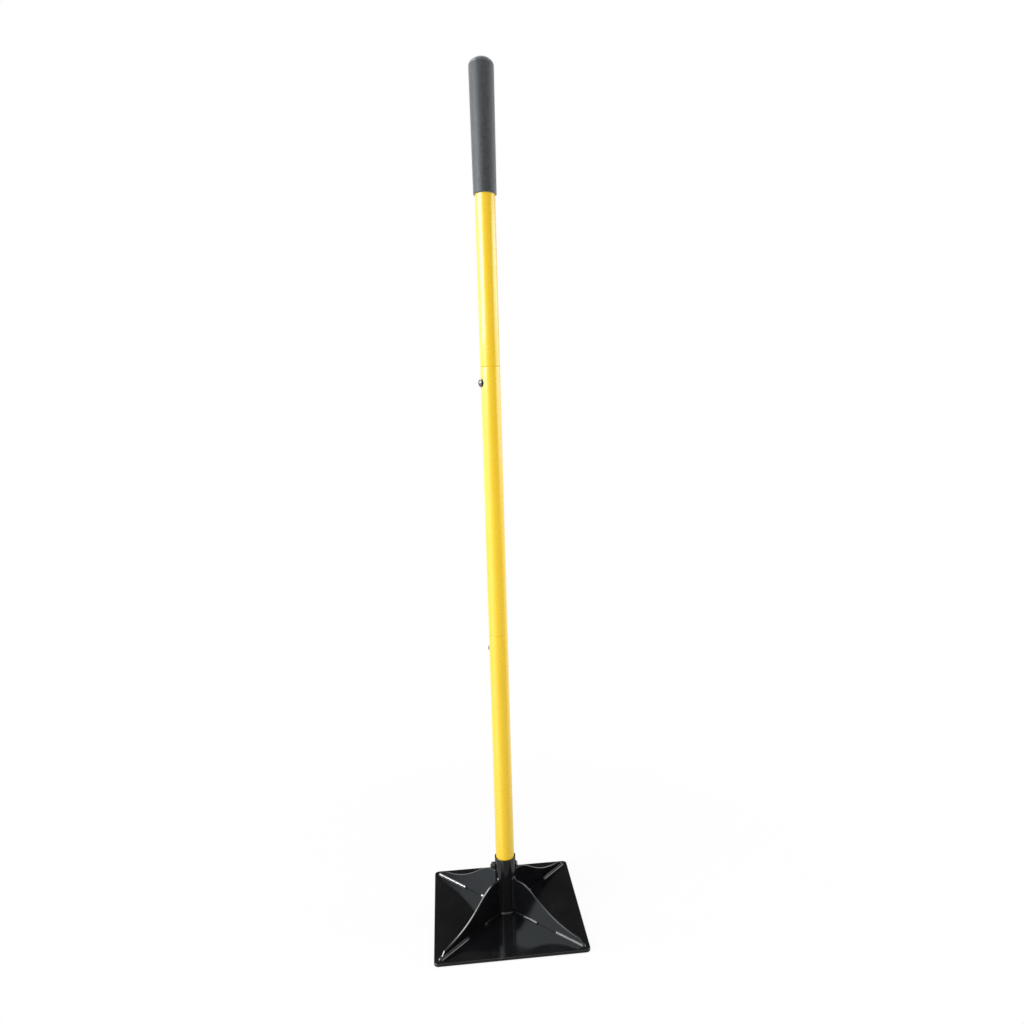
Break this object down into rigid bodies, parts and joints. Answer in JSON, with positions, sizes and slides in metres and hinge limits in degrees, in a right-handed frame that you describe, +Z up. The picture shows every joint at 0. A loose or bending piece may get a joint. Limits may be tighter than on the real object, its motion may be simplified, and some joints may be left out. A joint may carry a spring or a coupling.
{
  "type": "hand tamper",
  "caption": "Upright hand tamper: square steel sole plate with diagonal gussets and a bolted socket, and a sectional tube handle with snap-button locks and a sleeve grip.",
  "frame": {"origin": "centre of the sole plate's underside", "axes": "+Z up along the handle, -Y the front, +X to the right seen from the front"},
  "size_m": [0.2032, 0.2032, 1.1155],
  "materials": {
    "black_paint": "gloss",
    "yellow_paint": "gloss",
    "dark_steel": "blackened, satin",
    "button_metal": "dark, polished",
    "spring_steel": "bare spring steel",
    "grip_rubber": "matte"
  },
  "bodies": {
    "tool": {"base_plate": "black_paint", "gusset_front_left": "black_paint", "gusset_front_right": "black_paint", "gusset_back_left": "black_paint", "gusset_back_right": "black_paint", "gusset_foot_welds": "black_paint", "gusset_socket_welds": "black_paint", "socket_tube": "black_paint", "socket_foot_weld": "black_paint", "socket_bolt": "dark_steel", "socket_nut": "dark_steel", "lower_tube": "yellow_paint", "middle_tube": "yellow_paint", "upper_tube": "yellow_paint", "lower_lock_spring": "spring_steel", "upper_lock_spring": "spring_steel", "handle_grip": "grip_rubber"},
    "lower_button": {"lower_lock_button": "button_metal"},
    "upper_button": {"upper_lock_button": "button_metal"}
  },
  "joints": [
    {"name": "lower_button_press", "type": "slide", "parent": "tool", "child": "lower_button", "axis": [0.7431, -0.6691, 0], "range_m": [0, 0.0052], "stiffness_N_per_m": 1500, "springref_m": -0.001, "deforming": ["lower_lock_spring"]},
    {"name": "upper_button_press", "type": "slide", "parent": "tool", "child": "upper_button", "axis": [0.9613, 0.2756, 0], "range_m": [0, 0.0052], "stiffness_N_per_m": 1500, "springref_m": -0.001, "deforming": ["upper_lock_spring"]}
  ]
}
